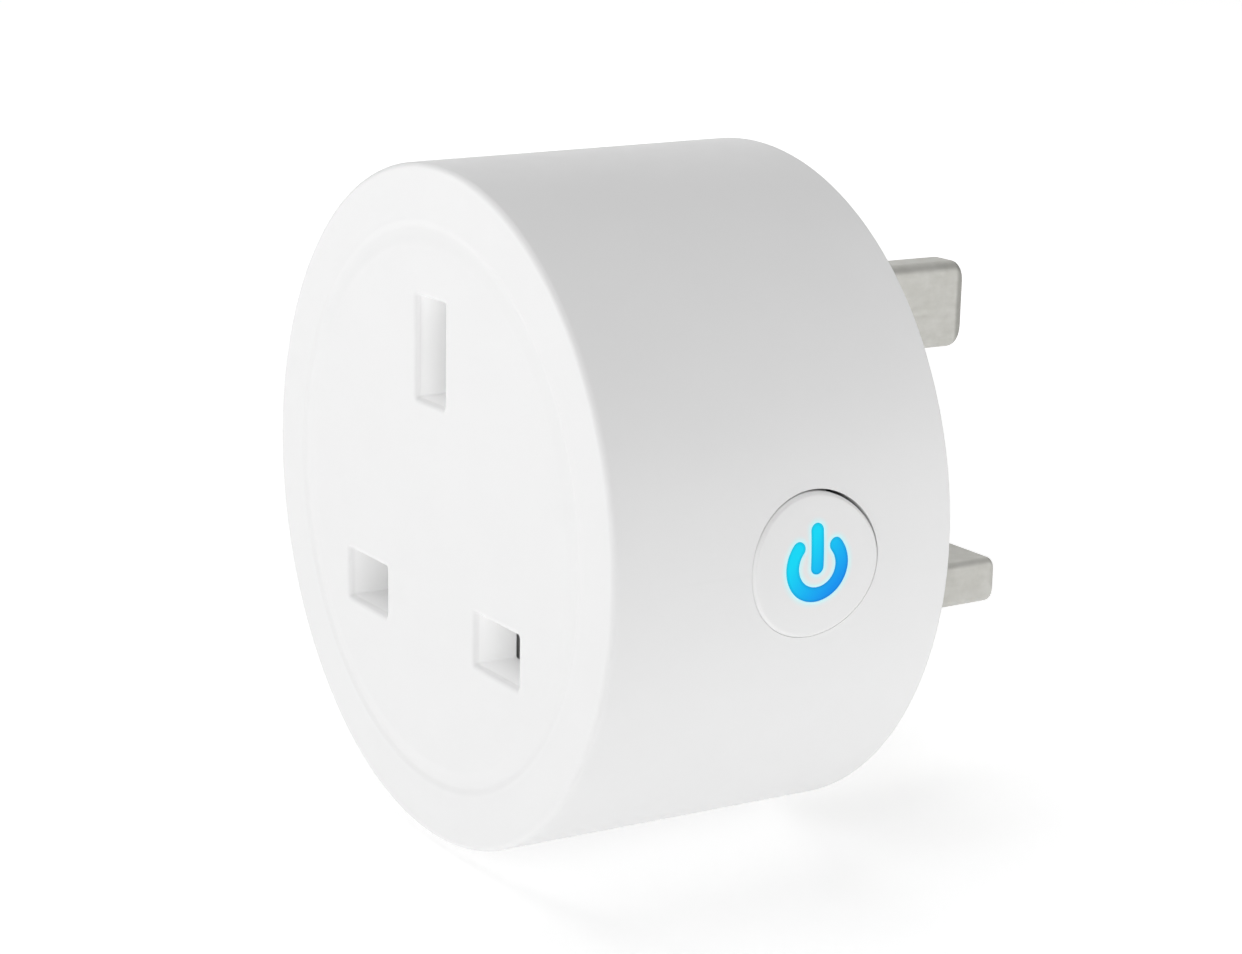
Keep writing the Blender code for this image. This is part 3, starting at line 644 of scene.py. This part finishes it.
def make_pin(name, pole):
    sleeved = name != "earth"
    low_y, high_y = (corner[1] for corner in extent(f"{name}_pin"))
    head = grown_section(pole, PIN_HEAD_GROW, PIN_HEAD_CORNER)
    sections = [(PIN_HEAD_START, head), (PIN_HEAD_END, head)]
    if sleeved:
        neck = grown_section(pole, -NECK_BITE, NECK_CORNER)
        sections += [(PIN_HEAD_END, neck), (SLEEVE_END, neck)]
    sections += bare_pin(pole, SLEEVE_END if sleeved else PIN_HEAD_END, high_y)
    pin = stack(f"{name}_plug_pin", "y", sections)
    tail_x, tail_z = (at + aside for at, aside in zip(pole.centre, pole.tail))
    join(pin, box("tail", (tail_x - TAIL_HALF_X, tail_x + TAIL_HALF_X), (low_y, TAIL_END),
                  (tail_z - TAIL_HALF_Z, tail_z + TAIL_HALF_Z)))
    plating = metal(f"{name}_pin_nickel", NICKEL, NICKEL_BLOTCH, 0.66, (1, 2.5, 1), grain=2.0, depth=0.006,
                    darker_from=None if sleeved else high_y - TIP_DARK)
    finish(pin, plating, "housing", [f"{name}_pin"])


def make_sleeve(name, pole, material):
    sections = [(at, grown_section(pole, -2 * inset, SLEEVE_CORNER)) for at, inset in (
        (SLEEVE_START, 0.0), (SLEEVE_END - SLEEVE_STEP, 0.0), (SLEEVE_END - SLEEVE_EDGE, SLEEVE_EDGE))]
    sleeve = stack(f"{name}_pin_sleeve", "y", sections)
    bore = grown_section(pole, NECK_CLEAR - NECK_BITE, NECK_CORNER)
    cut(sleeve, prism("bore", "y", bore, (SLEEVE_START - 1, SLEEVE_END + 1)))
    finish(sleeve, material, "housing", [f"{name}_sleeve"])


def make_pins():
    sleeve_plastic = plastic("sleeve_plastic", (0.025, 0.025, 0.027), 0.38, depth=0.003)
    for name, pole in POLES.items():
        make_pin(name, pole)
        if name != "earth":
            make_sleeve(name, pole, sleeve_plastic)


def make_cover():
    plate = [(-COVER_THICK, COVER_RADIUS), (-COVER_EDGE, COVER_RADIUS), (0.0, COVER_RADIUS - COVER_EDGE)]
    cover = turned("rear_cover_plate", "y", (0, 0), plate, SHELL_SIDES)
    low = extent("rear_cover")[0][1]
    post = [(low, BOARD_POST_RADIUS - 0.1), (low + 0.2, BOARD_POST_RADIUS),
            (-COVER_THICK + ROOT, BOARD_POST_RADIUS)]
    join(cover, *[turned("board_post", "y", spot, post, 32) for spot in BOARD_POSTS])
    holes = []
    for pole in POLES.values():
        width, height = (size + PIN_CLEAR for size in pole.section)
        slot = rounded(*pole.centre, width, height, PIN_SLOT_CORNER)
        mouth = rounded(*pole.centre, width + PIN_FLARE, height + PIN_FLARE, PIN_FLARE_CORNER)
        holes.append(stack("pin_slot", "y", [
            (-COVER_THICK - 1, slot), (-PIN_FLARE_HALF, slot), (PIN_FLARE_HALF, mouth)]))
    seat = HEAD_SEAT - 0.05
    screw_hole = [(-COVER_THICK - 1, SHANK_HOLE), (seat, SHANK_HOLE), (seat, HEAD_HOLE),
                  (-MOUTH_EDGE, HEAD_HOLE), (MOUTH_EDGE, HEAD_HOLE + MOUTH_FLARE)]
    holes += [turned("screw_hole", "y", spot, screw_hole) for spot in SCREWS.values()]
    cut(cover, *holes)
    finish(cover, plastic("cover_plastic", (0.84, 0.84, 0.84), 0.5, grain=4.0, depth=0.008),
           "housing", ["rear_cover"])


def make_screws():
    zinc = metal("screw_zinc", (0.66, 0.67, 0.68), (0.52, 0.53, 0.54), 0.28, stretch=(1, 1, 1))
    for name, (x, z) in SCREWS.items():
        point, top = (corner[1] for corner in extent(name))
        shank = [(point, SHANK_TIP_RADIUS), (point + SHANK_TIP, SHANK_RADIUS - 0.03),
                 (HEAD_SEAT, SHANK_RADIUS)]
        head = [(HEAD_SEAT, HEAD_RADIUS)] + [(top + rise, radius) for rise, radius in HEAD_DOME]
        screw = turned(f"{name}_fastener", "y", (x, z), shank + head, 48)
        for half_x, half_z in ((DRIVE_LONG, DRIVE_WIDE), (DRIVE_WIDE, DRIVE_LONG)):
            cut(screw, box("drive", (x - half_x, x + half_x), (top - DRIVE_DEEP, top + 1),
                           (z - half_z, z + half_z)))
        finish(bevel(screw, SCREW_EDGE, 2), zinc, "housing", [name])


def make_shutter():
    """The bar behind the line apertures, and the stem up to the ramp behind the earth aperture."""
    low, high = extent("shutter")
    front, back, foot = low[1], high[1], RAMP_FOOT
    shutter = box("shutter_slider", (-high[0], high[0]), (front, SHUTTER_REAR), (low[2], SHUTTER_BAR_TOP))
    ramp = [(front, foot - RAMP_THICK), (front, foot), (back, high[2]), (back, high[2] - RAMP_TOP_THICK),
            (SHUTTER_REAR, foot - 0.5), (SHUTTER_REAR, foot - RAMP_THICK)]
    stem = box("stem", (-SHUTTER_STEM_HALF, SHUTTER_STEM_HALF), (front, SHUTTER_REAR),
               (SHUTTER_BAR_TOP - 0.5, foot - 0.6))
    join(shutter, stem, prism("ramp", "x", ramp, (-RAMP_HALF, RAMP_HALF)))
    finish(bevel(shutter, SHUTTER_EDGE, 3), plastic("shutter_plastic", (0.80, 0.80, 0.79), 0.5),
           "shutter", ["shutter"])


def make_spring():
    """The shutter's return spring, a fixed coil of wire in the CAD spring's box."""
    low, high = extent("shutter_spring")
    centre_y = (low[1] + high[1]) / 2
    bottom, top = low[2] + SPRING_WIRE, high[2] - SPRING_WIRE
    rings, count = [], SPRING_TURNS * SPRING_STEPS
    for i in range(count + 1):
        t = i / count
        angle = math.tau * SPRING_TURNS * t
        ring = []
        for k in range(WIRE_SIDES):
            around = math.tau * k / WIRE_SIDES
            r = SPRING_RADIUS + SPRING_WIRE * math.cos(around)
            ring.append((r * math.cos(angle), centre_y + r * math.sin(angle),
                         bottom + (top - bottom) * t + SPRING_WIRE * math.sin(around)))
        rings.append(ring)
    spring = loft("shutter_return_spring", rings)
    steel = metal("spring_wire", (0.62, 0.62, 0.62), (0.48, 0.48, 0.48), 0.25, stretch=(1, 1, 1))
    finish(spring, steel, "housing", ["shutter_spring"], angle=80)
    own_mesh(spring)


def paint_inside():
    """Materials for the CAD nodes that stay as they are, all of them behind the housing."""
    board = plastic("board_laminate", (0.03, 0.20, 0.09), 0.35, grain=2.0, depth=0.01, tint=0.3)
    chip = plastic("chip_epoxy", (0.03, 0.03, 0.032), 0.55)
    moulded = plastic("carrier_plastic", (0.78, 0.77, 0.73), 0.5)
    bronze = metal("contact_bronze", (0.80, 0.56, 0.34), (0.66, 0.42, 0.24), 0.32)
    finishes = {
        "contact_carrier": moulded, "tact_plunger": moulded,
        "main_board": board, "wifi_board": board, "button_board": board,
        "earth_contact": bronze, "live_contact": bronze, "neutral_contact": bronze,
        "rectifier": chip, "regulator": chip, "tact_switch": chip,
        "wifi_shield": metal("tinplate", (0.70, 0.70, 0.69), (0.58, 0.58, 0.57), 0.3, stretch=(8, 1, 1)),
        "relay": plastic("relay_case", (0.03, 0.10, 0.38), 0.3),
        "bulk_capacitor": plastic("capacitor_black", (0.03, 0.03, 0.03), 0.25, tint=0.3),
        "output_capacitor": plastic("capacitor_blue", (0.04, 0.08, 0.26), 0.25, tint=0.3),
        "varistor": plastic("varistor_coat", (0.04, 0.14, 0.42), 0.35, grain=1.5, depth=0.02),
        "choke": plastic("ferrite", (0.05, 0.05, 0.05), 0.6, grain=2.0, depth=0.02, tint=0.3),
        "fuse_resistor": plastic("resistor_coat", (0.62, 0.56, 0.44), 0.5),
        "status_led_blue": plastic("led_blue", (0.70, 0.72, 0.80), 0.2),
        "status_led_red": plastic("led_red", (0.80, 0.72, 0.70), 0.2),
    }
    for node, material in finishes.items():
        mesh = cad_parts[node].data
        mesh.materials.clear()
        mesh.materials.append(material)


# ---------------------------------------------------------------- studio

OBJECT_CENTRE = (0, -15.0 * MM, 0)
FLOOR_HALF, FLOOR_THICK, FLOOR_DROP = 4000, 5, 0.05
FLOOR_GLOW, FLOOR_GLOW_FAR = 0.35, 0.71
GLOW_NEAR, GLOW_FAR = 0.08, 0.6  # metres from the object over which the floor's own light grows
SKY_STRENGTH = 0.29

# The camera: its place, and the directions behind it and to its right
CAMERA_PLACE, CAMERA_LENS, SENSOR_WIDTH = (182.180, -129.571, 54.410), 75.436, 36.0
CAMERA_BACK, CAMERA_RIGHT = (0.81653, -0.52450, 0.24122), (0.53594, 0.84400, 0.02100)


def make_floor():
    top = -REAR_RADIUS - FLOOR_DROP
    across = (-FLOOR_HALF, FLOOR_HALF)
    floor = box("studio_floor", across, across, (top - FLOOR_THICK, top))
    n = Nodes("floor_white")
    tone = n.spread(n.noise(0.002, 2.0), 0.93, 0.95)
    # The sweep is lit from behind, more so far from the object where the lamps fall off.
    far = n.tree.nodes.new("ShaderNodeVectorMath")
    far.operation = "LENGTH"
    n.feed(far.inputs[0], n.place)
    glow = n.spread(far.outputs["Value"], FLOOR_GLOW, FLOOR_GLOW_FAR, GLOW_NEAR, GLOW_FAR)
    floor.data.materials.append(n.set(Base_Color=n.grey(tone), Roughness=0.9, Specular_IOR_Level=0.0,
                                      Emission_Color=n.grey(glow), Emission_Strength=1.0))


def softbox(name, place, target, size, power):
    """A round soft lamp; sizes in metres and power in watts."""
    data = bpy.data.lights.new(name, "AREA")
    data.shape, data.size, data.energy = "DISK", size, power
    lamp = bpy.data.objects.new(name, data)
    lamp.location = place
    lamp.rotation_euler = (Vector(target) - Vector(place)).to_track_quat("-Z", "Y").to_euler()
    bpy.context.scene.collection.objects.link(lamp)


def around(turn, rise, distance):
    """A place seen from the object: turn degrees from straight in front of the face towards +X."""
    turn, rise = math.radians(turn), math.radians(rise)
    flat = distance * math.cos(rise)
    return flat * math.sin(turn), OBJECT_CENTRE[1] - flat * math.cos(turn), distance * math.sin(rise)


def make_lights():
    world = bpy.data.worlds.new("studio")
    bpy.context.scene.world = world
    world.use_nodes = True
    sky = world.node_tree.nodes["Background"]
    sky.inputs["Color"].default_value = (1.0, 1.0, 1.0, 1.0)
    sky.inputs["Strength"].default_value = SKY_STRENGTH
    softbox("key", around(35, 0, 0.75), OBJECT_CENTRE, 0.35, 2.28)
    softbox("fill", around(-40, 10, 0.75), OBJECT_CENTRE, 0.5, 1.48)
    softbox("overhead", around(-90, 80, 0.6), OBJECT_CENTRE, 0.6, 1.38)
    softbox("side", around(120, -2, 0.35), OBJECT_CENTRE, 0.2, 0.145)
    softbox("back", (-0.57, 0.38, 0.21), OBJECT_CENTRE, 0.6, 0.8)
    softbox("rear_edge", (0.08, 0.05, 0.02), (0.02, -0.005, 0.01), 0.05, 0.0075)
    bpy.context.scene.view_settings.view_transform = "Standard"


def make_camera():
    data = bpy.data.cameras.new("view")
    data.sensor_fit, data.sensor_width, data.lens = "HORIZONTAL", SENSOR_WIDTH, CAMERA_LENS
    data.clip_start, data.clip_end = 0.01, 20.0
    data.dof.use_dof = False
    camera = bpy.data.objects.new("view", data)
    back, right = Vector(CAMERA_BACK), Vector(CAMERA_RIGHT)
    turn = Matrix((right, back.cross(right), back)).transposed()
    camera.matrix_world = Matrix.Translation(Vector(CAMERA_PLACE) * MM) @ turn.to_4x4()
    bpy.context.scene.collection.objects.link(camera)
    bpy.context.scene.camera = camera


make_shell()
make_cap()
make_light_guide()
make_pins()
make_cover()
make_screws()
make_shutter()
make_spring()
paint_inside()
make_floor()
make_lights()
make_camera()
